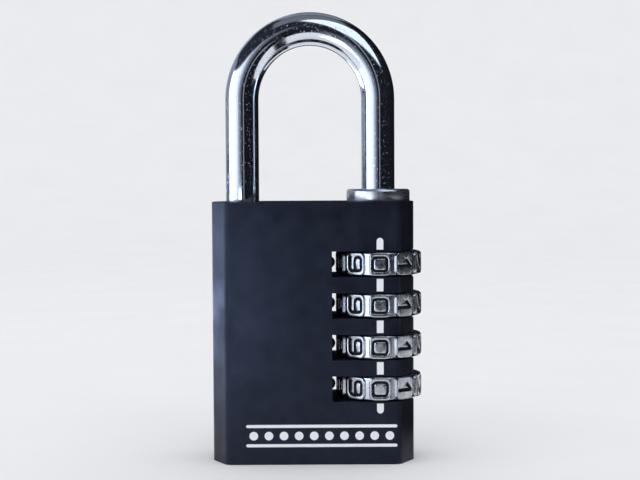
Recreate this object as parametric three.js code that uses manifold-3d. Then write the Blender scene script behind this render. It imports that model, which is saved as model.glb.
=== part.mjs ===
// Combination padlock with four dials on the shackle's heel leg.
// Millimetres, +Z up. The origin is the centre of the body's flat foot, the front faces -Y.

import * as THREE from 'three';
import { mergeVertices } from 'three/addons/utils/BufferGeometryUtils.js';
import Module from 'manifold-3d';

const wasm = await Module();
wasm.setup();

// ---- Driving dimensions -------------------------------------------------------------------

// Body: flat front and back, a bevel along each long edge, flat sides.
const BODY_WIDTH = 40;
const BODY_DEPTH = 16;
const BODY_HEIGHT = 51.5;
const PANEL_WIDTH = 34;
const SIDE_FLAT = 6;
const CORNER_ROUND = 0.9;
const EDGE_ROUND = 0.4;

// Shackle: a round bar, its toe leg short and its heel leg on the dials' axis.
const BAR_RADIUS = 3.3;
const HEEL_X = 13.1;
const TOE_X = -14.0;
const BOW_SPRING_Z = BODY_HEIGHT + 20.2;
const BOW_RISE = 14.1;
const TOE_DEPTH = 6.5;
const TOE_CHAMFER = 0.8;

// Dials and their slots.
const DIAL_COUNT = 4;
const DIAL_PITCH = 8.15;
const TOP_DIAL_Z = 39.3;
const DIAL_HEIGHT = 4.7;
const DIAL_CORNER_RADIUS = 8.62;
const DIAL_GROOVE_RADIUS = 8.12;
const DIAL_CHAMFER = 0.4;
const PAD_COUNT = 10;
const PAD_HALF_ANGLE = 14;
const SLOT_HEIGHT = 5.0;
const SLOT_LEFT_X = 3.75;
const SLOT_FLARE = 0.6;

// Sleeve stack inside the dials.
const HEEL_BORE_RADIUS = 5.25;
const SLEEVE_RADIUS = 4.9;
const SLEEVE_BORE_RADIUS = 3.75;
const SLEEVE_END_GAP = 0.2;
const WEB_LOW = 1.0;
const WEB_HIGH = 2.6;
const WEB_BORE_RADIUS = 2.6;
const GATE_WIDTH = 2.2;
const SPLINE_LOW = 0.95;
const SPLINE_TIP_RADIUS = 5.2;
const SPLINE_ROOT_RADIUS = 5.95;
const TAB_RADIUS = 5.7;
const TAB_WIDTH = 1.2;
const TAB_LOW = 0.75;
const TAB_HIGH = 2.05;

// Spindle: the turned-down foot of the heel leg.
const SPINDLE_RADIUS = 2.3;
const SPINDLE_SHOULDER_Z = 43.6;
const SPINDLE_FOOT_Z = 4.6;
const FIN_REACH = 3.2;
const FIN_WIDTH = 1.6;
const FIN_HEIGHT = 1.6;
const FIN_TOP = WEB_LOW - 1.5;
const RING_Z = 5.2;
const RING_THICKNESS = 1.0;
const RING_RADIUS = 3.4;
const RING_GROOVE_RADIUS = 1.8;

// Collar, stop washer, plug and springs.
const COLLAR_RADIUS = 6.3;
const COLLAR_HEIGHT = 2.4;
const COLLAR_CHAMFER = 0.45;
const COLLAR_TUBE_RADIUS = 5.1;
const COLLAR_BORE_RADIUS = 3.65;
const COLLAR_FOOT_Z = 44.8;
const WASHER_THICKNESS = 1.0;
const PLUG_RADIUS = 5.15;
const PLUG_RECESS = 0.3;
const PLUG_TOP_Z = 3.0;
const STACK_SPRING_RADIUS = 4.4;
const STACK_SPRING_WIRE = 0.35;
const STACK_SPRING_TURNS = 3;
const BALL_RADIUS = 1.2;
const DETENT_BORE_RADIUS = 1.45;
const DETENT_BORE_END_X = -3.2;
const DETENT_SPRING_RADIUS = 0.95;
const DETENT_SPRING_WIRE = 0.15;
const DETENT_SPRING_TURNS = 4;
const RUNNING_GAP = 0.05;

// Index line: a shallow groove down the front, in line with the dials' axis.
const INDEX_WIDTH = 1.4;
const INDEX_LOW_Z = 10.0;
const INDEX_HIGH_Z = 44.5;
const INDEX_DEPTH = 0.15;

const OVERSHOOT = 1;
const dialHeights = Array.from({ length: DIAL_COUNT }, (_, i) => TOP_DIAL_Z - i * DIAL_PITCH);
const ballX = HEEL_X - DIAL_CORNER_RADIUS - RUNNING_GAP - BALL_RADIUS;

// ---- Materials ----------------------------------------------------------------------------

function metal(color, roughness, metalness = 1) {
  return new THREE.MeshStandardMaterial({ color, roughness, metalness });
}

const finishes = {
  blackBody: () => metal(0x16181f, 0.4, 0.4),
  chrome: () => metal(0xd8dce2, 0.1),
  nickel: () => metal(0xb4b6bc, 0.3),
  brass: () => metal(0xb8954a, 0.4),
  steel: () => metal(0x8d9095, 0.35),
};

// ---- Solids and booleans ------------------------------------------------------------------

function toSolid(geometry) {
  const bare = geometry.clone();
  bare.deleteAttribute('normal');
  bare.deleteAttribute('uv');
  const merged = mergeVertices(bare, 1e-4);
  const mesh = new wasm.Mesh({
    numProp: 3,
    vertProperties: new Float32Array(merged.attributes.position.array),
    triVerts: new Uint32Array(merged.index.array),
  });
  return new wasm.Manifold(mesh);
}

function toGeometry(solid) {
  const mesh = solid.getMesh();
  const geometry = new THREE.BufferGeometry();
  geometry.setAttribute('position', new THREE.BufferAttribute(mesh.vertProperties, 3));
  geometry.setIndex(new THREE.BufferAttribute(mesh.triVerts, 1));
  geometry.computeVertexNormals();
  return geometry;
}

function cylinder(x, radius, lowZ, highZ, segments = 24) {
  const geometry = new THREE.CylinderGeometry(radius, radius, highZ - lowZ, segments);
  geometry.rotateX(Math.PI / 2);
  geometry.translate(x, 0, (lowZ + highZ) / 2);
  return toSolid(geometry);
}

function box(low, high) {
  const geometry = new THREE.BoxGeometry(high[0] - low[0], high[1] - low[1], high[2] - low[2]);
  geometry.translate((low[0] + high[0]) / 2, (low[1] + high[1]) / 2, (low[2] + high[2]) / 2);
  return toSolid(geometry);
}

// A closed profile of [radius, z] points, turned about a vertical axis at x.
function turned(x, profile, segments = 24) {
  const points = profile.map(([radius, z]) => new THREE.Vector2(radius, z));
  const geometry = new THREE.LatheGeometry(points, segments);
  geometry.rotateX(Math.PI / 2);
  geometry.translate(x, 0, 0);
  return geometry;
}

// A plan-view shape extruded upwards from lowZ to highZ.
function prism(shape, lowZ, highZ, x = 0) {
  const geometry = new THREE.ExtrudeGeometry(shape, { depth: highZ - lowZ, bevelEnabled: false });
  geometry.translate(x, 0, lowZ);
  return toSolid(geometry);
}

function polar(radius, degrees) {
  const angle = THREE.MathUtils.degToRad(degrees);
  return new THREE.Vector2(radius * Math.cos(angle), radius * Math.sin(angle));
}

// A wire or bar of many-sided section swept along a curve.
function swept(curve, radius, steps, sides) {
  const corners = Array.from({ length: sides }, (_, i) => polar(radius, (360 * i) / sides));
  return new THREE.ExtrudeGeometry(new THREE.Shape(corners), {
    steps,
    bevelEnabled: false,
    extrudePath: curve,
  });
}

class Helix extends THREE.Curve {
  constructor(radius, length, turns) {
    super();
    this.radius = radius;
    this.length = length;
    this.turns = turns;
  }

  getPoint(t, target = new THREE.Vector3()) {
    const angle = 2 * Math.PI * this.turns * t;
    return target.set(this.radius * Math.cos(angle), this.radius * Math.sin(angle), this.length * t);
  }
}

// ---- Body ---------------------------------------------------------------------------------

// An outline with every corner rounded.
function roundedOutline(corners, round) {
  const shape = new THREE.Shape();
  corners.forEach((corner, i) => {
    const before = corners[(i + corners.length - 1) % corners.length];
    const after = corners[(i + 1) % corners.length];
    const start = corner.clone().add(before.clone().sub(corner).setLength(round));
    const end = corner.clone().add(after.clone().sub(corner).setLength(round));
    if (i === 0) {
      shape.moveTo(start.x, start.y);
    } else {
      shape.lineTo(start.x, start.y);
    }
    shape.quadraticCurveTo(corner.x, corner.y, end.x, end.y);
  });
  shape.closePath();
  return shape;
}

function bodyBlank() {
  const side = BODY_WIDTH / 2;
  const face = BODY_DEPTH / 2;
  const panel = PANEL_WIDTH / 2;
  const flat = SIDE_FLAT / 2;
  const corners = [
    new THREE.Vector2(-panel, -face),
    new THREE.Vector2(panel, -face),
    new THREE.Vector2(side, -flat),
    new THREE.Vector2(side, flat),
    new THREE.Vector2(panel, face),
    new THREE.Vector2(-panel, face),
    new THREE.Vector2(-side, flat),
    new THREE.Vector2(-side, -flat),
  ];
  const geometry = new THREE.ExtrudeGeometry(roundedOutline(corners, CORNER_ROUND), {
    depth: BODY_HEIGHT - 2 * EDGE_ROUND,
    curveSegments: 2,
    bevelThickness: EDGE_ROUND,
    bevelSize: EDGE_ROUND,
    bevelOffset: -EDGE_ROUND,
    bevelSegments: 2,
  });
  geometry.translate(0, 0, EDGE_ROUND);
  return toSolid(geometry);
}

// A slot through the whole depth, open to the right, its mouth flared.
function slotCutter(z) {
  const half = SLOT_HEIGHT / 2;
  const mouth = BODY_WIDTH / 2;
  const flared = half + SLOT_FLARE;
  const shape = new THREE.Shape();
  shape.moveTo(SLOT_LEFT_X, -half);
  shape.lineTo(mouth - SLOT_FLARE, -half);
  shape.quadraticCurveTo(mouth, -half, mouth, -flared);
  shape.lineTo(mouth + OVERSHOOT, -flared);
  shape.lineTo(mouth + OVERSHOOT, flared);
  shape.lineTo(mouth, flared);
  shape.quadraticCurveTo(mouth, half, mouth - SLOT_FLARE, half);
  shape.lineTo(SLOT_LEFT_X, half);
  shape.closePath();
  const length = BODY_DEPTH + 2 * OVERSHOOT;
  const geometry = new THREE.ExtrudeGeometry(shape, {
    depth: length,
    bevelEnabled: false,
    curveSegments: 3,
  });
  geometry.translate(0, 0, -length / 2);
  geometry.rotateX(Math.PI / 2);
  geometry.translate(0, 0, z);
  return toSolid(geometry);
}

function detentBoreCutter(z) {
  const length = SLOT_LEFT_X + OVERSHOOT - DETENT_BORE_END_X;
  const geometry = new THREE.CylinderGeometry(DETENT_BORE_RADIUS, DETENT_BORE_RADIUS, length, 16);
  geometry.rotateZ(Math.PI / 2);
  geometry.translate(DETENT_BORE_END_X + length / 2, 0, z);
  return toSolid(geometry);
}

function indexGrooveCutter() {
  const half = INDEX_WIDTH / 2;
  const shape = new THREE.Shape();
  shape.absarc(0, INDEX_HIGH_Z - half, half, 0, Math.PI);
  shape.absarc(0, INDEX_LOW_Z + half, half, Math.PI, 2 * Math.PI);
  shape.closePath();
  const geometry = new THREE.ExtrudeGeometry(shape, {
    depth: INDEX_DEPTH + OVERSHOOT,
    bevelEnabled: false,
    curveSegments: 5,
  });
  geometry.rotateX(Math.PI / 2);
  geometry.translate(HEEL_X, INDEX_DEPTH - BODY_DEPTH / 2, 0);
  return toSolid(geometry);
}

function caseBody() {
  const toeBoreRadius = BAR_RADIUS + 0.35;
  const toeBoreFoot = BODY_HEIGHT - TOE_DEPTH - 1.2;
  let body = bodyBlank();
  body = body.subtract(cylinder(HEEL_X, HEEL_BORE_RADIUS, -OVERSHOOT, BODY_HEIGHT + OVERSHOOT, 32));
  body = body.subtract(cylinder(TOE_X, toeBoreRadius, toeBoreFoot, BODY_HEIGHT + OVERSHOOT));
  body = body.subtract(indexGrooveCutter());
  for (const z of dialHeights) {
    body = body.subtract(slotCutter(z));
    body = body.subtract(detentBoreCutter(z));
  }
  return toGeometry(body);
}

// ---- Shackle ------------------------------------------------------------------------------

// Up the toe leg, over a half-ellipse bow and down the heel leg.
class ShacklePath extends THREE.CurvePath {
  constructor() {
    super();
    const middleX = (HEEL_X + TOE_X) / 2;
    const halfSpan = (HEEL_X - TOE_X) / 2;
    const toeFoot = new THREE.Vector3(TOE_X, 0, BODY_HEIGHT - TOE_DEPTH);
    const toeTop = new THREE.Vector3(TOE_X, 0, BOW_SPRING_Z);
    const heelTop = new THREE.Vector3(HEEL_X, 0, BOW_SPRING_Z);
    const heelFoot = new THREE.Vector3(HEEL_X, 0, SPINDLE_SHOULDER_Z);
    const bowPoints = [];
    const bowSteps = 40;
    for (let i = 0; i <= bowSteps; i += 1) {
      const angle = Math.PI * (1 - i / bowSteps);
      const x = middleX + halfSpan * Math.cos(angle);
      const z = BOW_SPRING_Z + BOW_RISE * Math.sin(angle);
      bowPoints.push(new THREE.Vector3(x, 0, z));
    }
    this.add(new THREE.LineCurve3(toeFoot, toeTop));
    this.add(new THREE.CatmullRomCurve3(bowPoints));
    this.add(new THREE.LineCurve3(heelTop, heelFoot));
  }
}

function shackle() {
  let bar = toSolid(swept(new ShacklePath(), BAR_RADIUS, 44, 16));
  const tipZ = BODY_HEIGHT - TOE_DEPTH;
  const tipTop = tipZ + TOE_CHAMFER;
  const tipRim = BAR_RADIUS + OVERSHOOT;
  const tipRing = [
    [BAR_RADIUS - TOE_CHAMFER, tipZ - OVERSHOOT / 2],
    [tipRim, tipZ - OVERSHOOT / 2],
    [tipRim, tipTop + OVERSHOOT],
    [BAR_RADIUS - TOE_CHAMFER, tipZ],
    [BAR_RADIUS - TOE_CHAMFER, tipZ - OVERSHOOT / 2],
  ];
  bar = bar.subtract(toSolid(turned(TOE_X, tipRing, 16)));

  const footChamfer = 0.3;
  const ringSlack = 0.15;
  const ringLow = RING_Z - ringSlack;
  const ringHigh = RING_Z + RING_THICKNESS + ringSlack;
  const spindle = [
    [0, SPINDLE_FOOT_Z],
    [SPINDLE_RADIUS - footChamfer, SPINDLE_FOOT_Z],
    [SPINDLE_RADIUS, SPINDLE_FOOT_Z + footChamfer],
    [SPINDLE_RADIUS, ringLow],
    [RING_GROOVE_RADIUS, ringLow],
    [RING_GROOVE_RADIUS, ringHigh],
    [SPINDLE_RADIUS, ringHigh],
    [SPINDLE_RADIUS, SPINDLE_SHOULDER_Z + OVERSHOOT],
    [0, SPINDLE_SHOULDER_Z + OVERSHOOT],
  ];
  bar = bar.add(toSolid(turned(HEEL_X, spindle, 16)));
  for (const z of dialHeights) {
    const finTop = z + FIN_TOP;
    const low = [HEEL_X - FIN_REACH, -FIN_WIDTH / 2, finTop - FIN_HEIGHT];
    const high = [HEEL_X, FIN_WIDTH / 2, finTop];
    bar = bar.add(box(low, high));
  }
  return toGeometry(bar);
}

function retainingRing() {
  const gapHalfAngle = THREE.MathUtils.degToRad(30);
  const inner = RING_GROOVE_RADIUS + 0.1;
  const shape = new THREE.Shape();
  shape.absarc(0, 0, RING_RADIUS, gapHalfAngle, 2 * Math.PI - gapHalfAngle);
  shape.absarc(0, 0, inner, 2 * Math.PI - gapHalfAngle, gapHalfAngle, true);
  shape.closePath();
  const geometry = new THREE.ExtrudeGeometry(shape, {
    depth: RING_THICKNESS,
    bevelEnabled: false,
    curveSegments: 10,
  });
  geometry.translate(HEEL_X, 0, RING_Z);
  return geometry;
}

// ---- Dials and code sleeves ---------------------------------------------------------------

// Ten flat pads with a shallow groove between each pair; one pad faces the front.
function padOutline() {
  const pitch = 360 / PAD_COUNT;
  const grooveHalf = 2;
  const points = [];
  for (let i = 0; i < PAD_COUNT; i += 1) {
    const middle = -90 + i * pitch;
    const groove = middle + pitch / 2;
    points.push(polar(DIAL_CORNER_RADIUS, middle - PAD_HALF_ANGLE));
    points.push(polar(DIAL_CORNER_RADIUS, middle + PAD_HALF_ANGLE));
    points.push(polar(DIAL_GROOVE_RADIUS, groove - grooveHalf));
    points.push(polar(DIAL_GROOVE_RADIUS, groove + grooveHalf));
  }
  return new THREE.Shape(points);
}

// Ten grooves round the dial's bore; one lies towards +X.
function splineOutline() {
  const pitch = 360 / PAD_COUNT;
  const rootHalf = 8;
  const tipHalf = 9;
  const points = [];
  for (let i = 0; i < PAD_COUNT; i += 1) {
    const middle = i * pitch;
    points.push(polar(SPLINE_TIP_RADIUS, middle - tipHalf));
    points.push(polar(SPLINE_ROOT_RADIUS, middle - rootHalf));
    points.push(polar(SPLINE_ROOT_RADIUS, middle + rootHalf));
    points.push(polar(SPLINE_TIP_RADIUS, middle + tipHalf));
  }
  return new THREE.Shape(points);
}

// A dial about its own middle height, on the heel axis.
function dial() {
  const half = DIAL_HEIGHT / 2;
  const blank = new THREE.ExtrudeGeometry(padOutline(), {
    depth: DIAL_HEIGHT - 2 * DIAL_CHAMFER,
    bevelThickness: DIAL_CHAMFER,
    bevelSize: DIAL_CHAMFER,
    bevelOffset: -DIAL_CHAMFER,
    bevelSegments: 1,
  });
  blank.translate(HEEL_X, 0, DIAL_CHAMFER - half);
  let solid = toSolid(blank);
  solid = solid.subtract(cylinder(HEEL_X, SPLINE_ROOT_RADIUS, -half - OVERSHOOT, SPLINE_LOW, 30));
  solid = solid.subtract(prism(splineOutline(), SPLINE_LOW - OVERSHOOT, half + OVERSHOOT, HEEL_X));
  return toGeometry(solid);
}

// A tumbler about its dial's middle height: a tube with an inner web, a gate in the web and a tab.
function codeSleeve() {
  const half = (DIAL_PITCH - SLEEVE_END_GAP) / 2;
  const above = half + OVERSHOOT;
  let solid = cylinder(HEEL_X, SLEEVE_RADIUS, -half, half);
  solid = solid.subtract(cylinder(HEEL_X, SLEEVE_BORE_RADIUS, -above, WEB_LOW));
  solid = solid.subtract(cylinder(HEEL_X, SLEEVE_BORE_RADIUS, WEB_HIGH, above));
  solid = solid.subtract(cylinder(HEEL_X, WEB_BORE_RADIUS, -above, above, 16));
  const gateLow = [HEEL_X - SLEEVE_BORE_RADIUS, -GATE_WIDTH / 2, WEB_LOW - OVERSHOOT];
  const gateHigh = [HEEL_X, GATE_WIDTH / 2, WEB_HIGH + OVERSHOOT];
  solid = solid.subtract(box(gateLow, gateHigh));
  const tabLow = [HEEL_X + SLEEVE_BORE_RADIUS + 0.5, -TAB_WIDTH / 2, TAB_LOW];
  const tabHigh = [HEEL_X + TAB_RADIUS, TAB_WIDTH / 2, TAB_HIGH];
  solid = solid.add(box(tabLow, tabHigh));
  return toGeometry(solid);
}

// ---- Collar, washer, plug, springs and balls ----------------------------------------------

function guideCollar() {
  const top = BODY_HEIGHT + COLLAR_HEIGHT;
  const profile = [
    [COLLAR_BORE_RADIUS, COLLAR_FOOT_Z],
    [COLLAR_TUBE_RADIUS, COLLAR_FOOT_Z],
    [COLLAR_TUBE_RADIUS, BODY_HEIGHT],
    [COLLAR_RADIUS, BODY_HEIGHT],
    [COLLAR_RADIUS, top - COLLAR_CHAMFER],
    [COLLAR_RADIUS - COLLAR_CHAMFER, top],
    [COLLAR_BORE_RADIUS + COLLAR_CHAMFER / 2, top],
    [COLLAR_BORE_RADIUS, top - COLLAR_CHAMFER / 2],
    [COLLAR_BORE_RADIUS, COLLAR_FOOT_Z],
  ];
  return turned(HEEL_X, profile, 32);
}

function stopWasher() {
  const top = COLLAR_FOOT_Z - RUNNING_GAP;
  const low = top - WASHER_THICKNESS;
  const profile = [
    [SLEEVE_BORE_RADIUS, low],
    [SLEEVE_RADIUS, low],
    [SLEEVE_RADIUS, top],
    [SLEEVE_BORE_RADIUS, top],
    [SLEEVE_BORE_RADIUS, low],
  ];
  return turned(HEEL_X, profile);
}

function bottomPlug() {
  const chamfer = 0.4;
  const profile = [
    [0, PLUG_RECESS],
    [PLUG_RADIUS - chamfer, PLUG_RECESS],
    [PLUG_RADIUS, PLUG_RECESS + chamfer],
    [PLUG_RADIUS, PLUG_TOP_Z],
    [0, PLUG_TOP_Z],
  ];
  return turned(HEEL_X, profile, 32);
}

// Stands on the plug and ends just below the lowest sleeve.
function stackSpring() {
  const sleeveFoot = dialHeights[DIAL_COUNT - 1] - (DIAL_PITCH - SLEEVE_END_GAP) / 2;
  const clear = STACK_SPRING_WIRE + 2 * RUNNING_GAP;
  const length = sleeveFoot - PLUG_TOP_Z - 2 * clear;
  const coil = new Helix(STACK_SPRING_RADIUS, length, STACK_SPRING_TURNS);
  const geometry = swept(coil, STACK_SPRING_WIRE, STACK_SPRING_TURNS * 12, 6);
  geometry.translate(HEEL_X, 0, PLUG_TOP_Z + clear);
  return geometry;
}

// Lies in the detent bore, from its blind end to the ball.
function detentSpring() {
  const clear = DETENT_SPRING_WIRE + RUNNING_GAP;
  const start = DETENT_BORE_END_X + clear;
  const end = ballX - BALL_RADIUS - clear;
  const coil = new Helix(DETENT_SPRING_RADIUS, end - start, DETENT_SPRING_TURNS);
  const geometry = swept(coil, DETENT_SPRING_WIRE, DETENT_SPRING_TURNS * 9, 5);
  geometry.rotateY(Math.PI / 2);
  geometry.translate(start, 0, 0);
  return geometry;
}

function detentBall() {
  const geometry = new THREE.SphereGeometry(BALL_RADIUS, 12, 8);
  geometry.translate(ballX, 0, 0);
  return geometry;
}

// ---- Assembly -----------------------------------------------------------------------------

const padlock = new THREE.Group();

function place(name, geometry, material, z = 0) {
  const mesh = new THREE.Mesh(geometry, material);
  mesh.name = name;
  mesh.position.z = z;
  padlock.add(mesh);
}

place('case_body', caseBody(), finishes.blackBody());
place('shackle', shackle(), finishes.chrome());
place('retaining_ring', retainingRing(), finishes.steel());
place('guide_collar', guideCollar(), finishes.chrome());
place('stop_washer', stopWasher(), finishes.brass());
place('bottom_plug', bottomPlug(), finishes.blackBody());
place('stack_spring', stackSpring(), finishes.steel());
dialHeights.forEach((z, i) => {
  const number = i + 1;
  place(`dial_${number}`, dial(), finishes.nickel(), z);
  place(`code_sleeve_${number}`, codeSleeve(), finishes.brass(), z);
  place(`detent_ball_${number}`, detentBall(), finishes.steel(), z);
  place(`detent_spring_${number}`, detentSpring(), finishes.steel(), z);
});

export default padlock;
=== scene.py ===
"""Four-dial combination padlock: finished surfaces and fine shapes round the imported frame.

Lengths in this script are millimetres unless a name says otherwise; MM turns them into metres.
The front of the padlock faces -Y, the dials and the shackle's heel leg are at +X.
"""
import math

import bmesh
import bpy
from mathutils import Matrix, Vector
from mathutils.geometry import delaunay_2d_cdt


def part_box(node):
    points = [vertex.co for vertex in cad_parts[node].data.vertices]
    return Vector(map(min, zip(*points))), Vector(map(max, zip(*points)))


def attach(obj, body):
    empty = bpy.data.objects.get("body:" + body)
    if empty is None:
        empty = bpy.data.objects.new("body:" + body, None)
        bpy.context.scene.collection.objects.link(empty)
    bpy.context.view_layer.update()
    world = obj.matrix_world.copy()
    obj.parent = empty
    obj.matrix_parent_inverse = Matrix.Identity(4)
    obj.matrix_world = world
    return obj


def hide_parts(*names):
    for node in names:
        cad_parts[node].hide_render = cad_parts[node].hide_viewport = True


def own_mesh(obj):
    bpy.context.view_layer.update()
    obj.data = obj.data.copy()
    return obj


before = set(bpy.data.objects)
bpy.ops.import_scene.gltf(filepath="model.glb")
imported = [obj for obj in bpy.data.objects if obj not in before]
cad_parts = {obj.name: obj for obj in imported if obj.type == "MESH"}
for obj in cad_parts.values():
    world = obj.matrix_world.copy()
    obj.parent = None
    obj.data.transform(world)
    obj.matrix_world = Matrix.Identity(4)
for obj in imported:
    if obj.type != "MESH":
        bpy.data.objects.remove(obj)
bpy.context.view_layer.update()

MM = 0.001
TAU = 2 * math.pi


# ---- Sizes read from the frame ------------------------------------------------------------

def node_box(node):
    """A CAD node's lowest and highest corners in millimetres."""
    low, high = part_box(node)
    return low / MM, high / MM


_, body_high = node_box("case_body")
collar_low, collar_high = node_box("guide_collar")
shackle_low, shackle_high = node_box("shackle")
DIALS = ["dial_1", "dial_2", "dial_3", "dial_4"]
dial_boxes = [node_box(name) for name in DIALS]
dial_zs = [(low.z + high.z) / 2 for low, high in dial_boxes]

BODY_SIDE = body_high.x
BODY_FACE = body_high.y
BODY_TOP = body_high.z
HEEL_X = (collar_low.x + collar_high.x) / 2
BAR_RADIUS = shackle_high.y
TOE_X = shackle_low.x + BAR_RADIUS
COLLAR_RADIUS = (collar_high.x - collar_low.x) / 2
DIAL_HEIGHT = dial_boxes[0][1].z - dial_boxes[0][0].z


# ---- Mesh tools ---------------------------------------------------------------------------

def add_object(name, mesh):
    """A new object in the scene, showing a mesh."""
    obj = bpy.data.objects.new(name, mesh)
    bpy.context.scene.collection.objects.link(obj)
    return obj


def mesh_object(name, vertices, faces, smooth_angle=None):
    """A new object from vertices in millimetres."""
    mesh = bpy.data.meshes.new(name)
    mesh.from_pydata([Vector(v) * MM for v in vertices], [], faces)
    mesh.validate()
    bm = bmesh.new()
    bm.from_mesh(mesh)
    bmesh.ops.recalc_face_normals(bm, faces=bm.faces)
    bm.to_mesh(mesh)
    bm.free()
    if smooth_angle is not None:
        shade(mesh, smooth_angle)
    return add_object(name, mesh)


def shade(mesh, angle_degrees):
    """Smooth shading, with edges sharper than the angle kept crisp."""
    mesh.shade_smooth()
    mesh.set_sharp_from_angle(angle=math.radians(angle_degrees))


def bake_modifiers(obj):
    """The object's mesh becomes what its modifiers make of it."""
    graph = bpy.context.evaluated_depsgraph_get()
    mesh = bpy.data.meshes.new_from_object(obj.evaluated_get(graph))
    obj.modifiers.clear()
    obj.data = mesh


def boolean(obj, tool, operation="DIFFERENCE"):
    """Cuts or joins with another object, which is then removed."""
    modifier = obj.modifiers.new("boolean", "BOOLEAN")
    modifier.object = tool
    modifier.operation = operation
    modifier.solver = "EXACT"
    bake_modifiers(obj)
    bpy.data.objects.remove(tool)


def join(obj, other):
    """Adds another object's separate shells to this one."""
    bm = bmesh.new()
    bm.from_mesh(obj.data)
    bm.from_mesh(other.data)
    bm.to_mesh(obj.data)
    bm.free()
    bpy.data.objects.remove(other)


def flatten_normals(obj):
    """Large flat faces keep their own normals, so that only the rounded edges look rounded."""
    modifier = obj.modifiers.new("normals", "WEIGHTED_NORMAL")
    modifier.keep_sharp = True
    modifier.weight = 100
    bake_modifiers(obj)


def round_edges(obj, width, segments, angle):
    """Rounds every edge sharper than the angle, by a width in millimetres."""
    modifier = obj.modifiers.new("edges", "BEVEL")
    modifier.width = width * MM
    modifier.segments = segments
    modifier.limit_method = "ANGLE"
    modifier.angle_limit = math.radians(angle)
    bake_modifiers(obj)


def prism(name, outline, low, high, axis="Z"):
    """A closed prism of an outline, drawn across the axis and extruded from low to high."""
    count = len(outline)
    if axis == "Z":
        vertices = [(u, v, w) for w in (low, high) for u, v in outline]
    elif axis == "Y":
        vertices = [(u, w, v) for w in (low, high) for u, v in outline]
    else:
        vertices = [(w, u, v) for w in (low, high) for u, v in outline]
    faces = [list(range(count)), list(range(count, 2 * count))]
    for i in range(count):
        j = (i + 1) % count
        faces.append([i, j, count + j, count + i])
    return mesh_object(name, vertices, faces)


def circle(x, y, radius, segments):
    """The outline of a round bore or disc."""
    return [(x + radius * math.cos(TAU * i / segments), y + radius * math.sin(TAU * i / segments))
            for i in range(segments)]


def quarter_round(radius, z, size, start, steps):
    """Points of a convex quarter circle round (radius, z), from the start angle on by 90 degrees."""
    points = []
    for i in range(steps + 1):
        angle = math.radians(start + 90 * i / steps)
        points.append((radius + size * math.cos(angle), z + size * math.sin(angle)))
    return points


def turned(name, profile, segments, smooth_angle=35):
    """A closed profile of (radius, z) points turned about the heel leg's axis."""
    vertices = []
    for radius, z in profile:
        for i in range(segments):
            angle = TAU * i / segments
            vertices.append((HEEL_X + radius * math.cos(angle), radius * math.sin(angle), z))
    faces = []
    for row in range(len(profile)):
        below = row * segments
        above = (row + 1) % len(profile) * segments
        for i in range(segments):
            j = (i + 1) % segments
            faces.append([below + i, below + j, above + j, above + i])
    return mesh_object(name, vertices, faces, smooth_angle)


def rounded_path(points, radius, steps, closed=False):
    """A path of 2D points with its corners rounded, each starting that far from the corner."""
    path = []
    count = len(points)
    for i, point in enumerate(points):
        corner = Vector(point)
        if not closed and i in (0, count - 1):
            path.append(corner)
            continue
        before = Vector(points[i - 1]) - corner
        after = Vector(points[(i + 1) % count]) - corner
        reach_in = min(radius, before.length * 0.49)
        reach_out = min(radius, after.length * 0.49)
        start = corner + before.normalized() * reach_in
        end = corner + after.normalized() * reach_out
        for k in range(steps + 1):
            t = k / steps
            path.append(start * (1 - t) ** 2 + corner * 2 * t * (1 - t) + end * t ** 2)
    return path


def swept(name, path, radii, sides):
    """A round bar or wire along a 3D path, with a radius for each point, its ends closed flat."""
    points = [Vector(p) for p in path]
    count = len(points)
    tangent = (points[1] - points[0]).normalized()
    normal = tangent.orthogonal().normalized()
    vertices = []
    for i, point in enumerate(points):
        ahead = points[min(i + 1, count - 1)] - points[max(i - 1, 0)]
        new_tangent = ahead.normalized()
        normal = tangent.rotation_difference(new_tangent) @ normal
        tangent = new_tangent
        side = tangent.cross(normal)
        for k in range(sides):
            angle = TAU * k / sides
            spoke = normal * math.cos(angle) + side * math.sin(angle)
            vertices.append(point + spoke * radii[i])
    faces = [list(range(sides)), list(range((count - 1) * sides, count * sides))]
    for i in range(count - 1):
        for k in range(sides):
            n = (k + 1) % sides
            here = i * sides
            faces.append([here + k, here + n, here + sides + n, here + sides + k])
    return mesh_object(name, vertices, faces, 60)


# ---- Materials ----------------------------------------------------------------------------

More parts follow.
